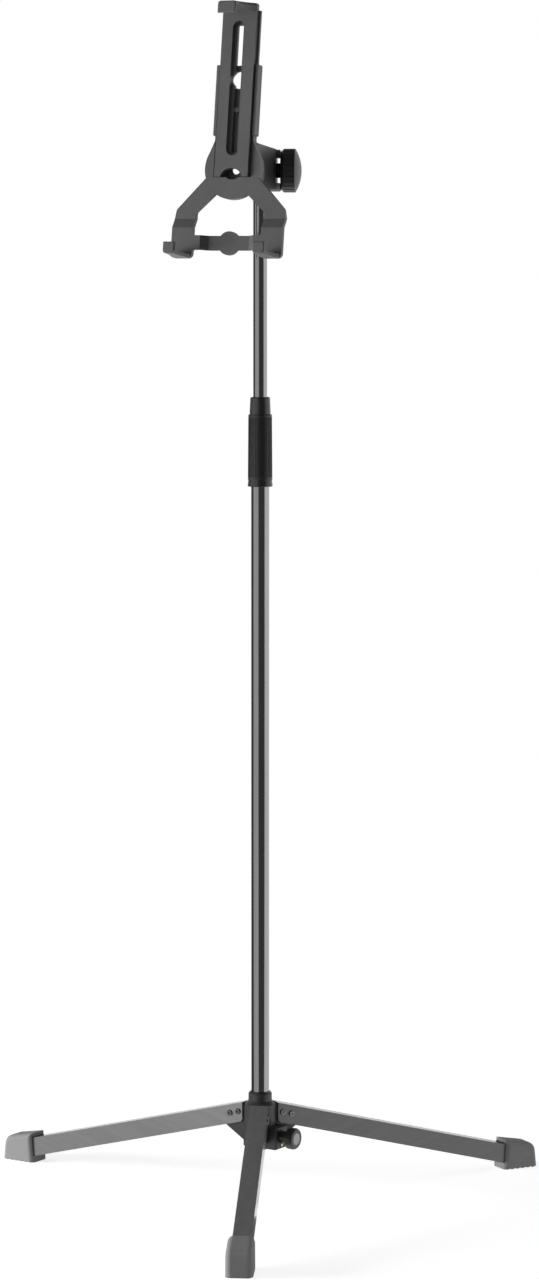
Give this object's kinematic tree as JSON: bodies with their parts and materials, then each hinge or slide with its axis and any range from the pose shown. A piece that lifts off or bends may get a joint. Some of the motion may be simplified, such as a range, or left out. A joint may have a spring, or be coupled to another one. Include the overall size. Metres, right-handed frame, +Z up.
{
  "type": "adjustable tablet floor stand",
  "caption": "Tripod floor stand with a telescopic column, a twist clutch, a tilting and turning head and a hooked holder with a slider for a tablet",
  "frame": {"origin": "on the floor, midway between the feet both across and front to back", "axes": "+Z up, -Y to the front, +X to the side of the tilt knob"},
  "size_m": [0.6146, 0.5338, 1.3103],
  "materials": {
    "hub_plastic": "fine moulded texture, charcoal",
    "foot_plastic": "matt moulded rubber, mid grey",
    "leg_metal": "satin dark coating",
    "rivet_metal": "blackened, worn on the rims",
    "bush_plastic": "smooth black",
    "knob_plastic": "semi-gloss black",
    "disc_plastic": "plain pale disc",
    "pin_brass": "bright",
    "tube_metal": "polished dark coating",
    "steel": "plain zinc plate",
    "clutch_plastic": "black, satin",
    "inner_plastic": "natural grey",
    "friction_rubber": "matt black",
    "holder_plastic": "fine moulded texture, charcoal",
    "tilt_knob_plastic": "satin black"
  },
  "bodies": {
    "base": {"base_hub": "hub_plastic", "column_bush": "bush_plastic", "block_pin": "pin_brass", "clamp_pad": "inner_plastic", "leg_front": "leg_metal", "leg_right": "leg_metal", "leg_left": "leg_metal", "foot_front": "foot_plastic", "foot_right": "foot_plastic", "foot_left": "foot_plastic", "leg_rivets_front": "rivet_metal", "leg_rivets_right": "rivet_metal", "leg_rivets_left": "rivet_metal"},
    "base_knob": {"base_knob": "knob_plastic", "base_knob_disc": "disc_plastic", "clamp_screw": "steel"},
    "column": {"main_tube": "tube_metal", "main_tube_end_cap": "inner_plastic", "clutch_ring": "clutch_plastic", "clutch_core": "inner_plastic", "clutch_collet": "inner_plastic", "clutch_top_collar": "clutch_plastic"},
    "clutch_grip": {"clutch_grip": "clutch_plastic"},
    "riser": {"guide_plug": "inner_plastic"},
    "upper_column": {"extension_tube": "tube_metal", "head_post": "holder_plastic", "friction_washer": "friction_rubber", "tilt_bolt": "steel"},
    "tilt_knob": {"tilt_knob": "tilt_knob_plastic"},
    "tilt_arm": {"tilt_arm": "holder_plastic", "friction_ring": "friction_rubber"},
    "holder": {"holder_plate": "holder_plastic", "retaining_ring": "steel", "retaining_screws": "steel", "guide_stud": "steel"},
    "slider": {"slider": "holder_plastic"}
  },
  "joints": [
    {"name": "base_knob_turn", "type": "hinge", "parent": "base", "child": "base_knob", "pos_m": [0, 0.08211, 0.0706], "axis": [0.866, -0.5, 0], "range_deg": [0, 360]},
    {"name": "column_pull_out", "type": "slide", "parent": "base", "child": "column", "axis": [0, 0, 1], "range_m": [0, 0.065]},
    {"name": "clutch_twist", "type": "hinge", "parent": "column", "child": "clutch_grip", "pos_m": [0, 0.08211, 0.83], "axis": [0, 0, 1], "range_deg": [0, 90]},
    {"name": "height_slide", "type": "slide", "parent": "column", "child": "riser", "axis": [0, 0, 1], "range_m": [-0.205, 0.31]},
    {"name": "column_swivel", "type": "hinge", "parent": "riser", "child": "upper_column", "pos_m": [0, 0.08211, 0.39], "axis": [0, 0, 1], "continuous": true},
    {"name": "tilt_knob_turn", "type": "hinge", "parent": "upper_column", "child": "tilt_knob", "pos_m": [0.03, 0.08211, 1.1322], "axis": [1, 0, 0], "range_deg": [0, 360]},
    {"name": "head_tilt", "type": "hinge", "parent": "upper_column", "child": "tilt_arm", "pos_m": [0, 0.08211, 1.1322], "axis": [-1, 0, 0], "range_deg": [-15, 75]},
    {"name": "holder_turn", "type": "hinge", "parent": "tilt_arm", "child": "holder", "pos_m": [-0.02588, 0.02248, 1.1336], "axis": [-0.3779, -0.9168, 0.1288], "continuous": true},
    {"name": "slider_slide", "type": "slide", "parent": "holder", "child": "slider", "axis": [0.0491, 0.1191, 0.9917], "range_m": [0, 0.04]}
  ]
}
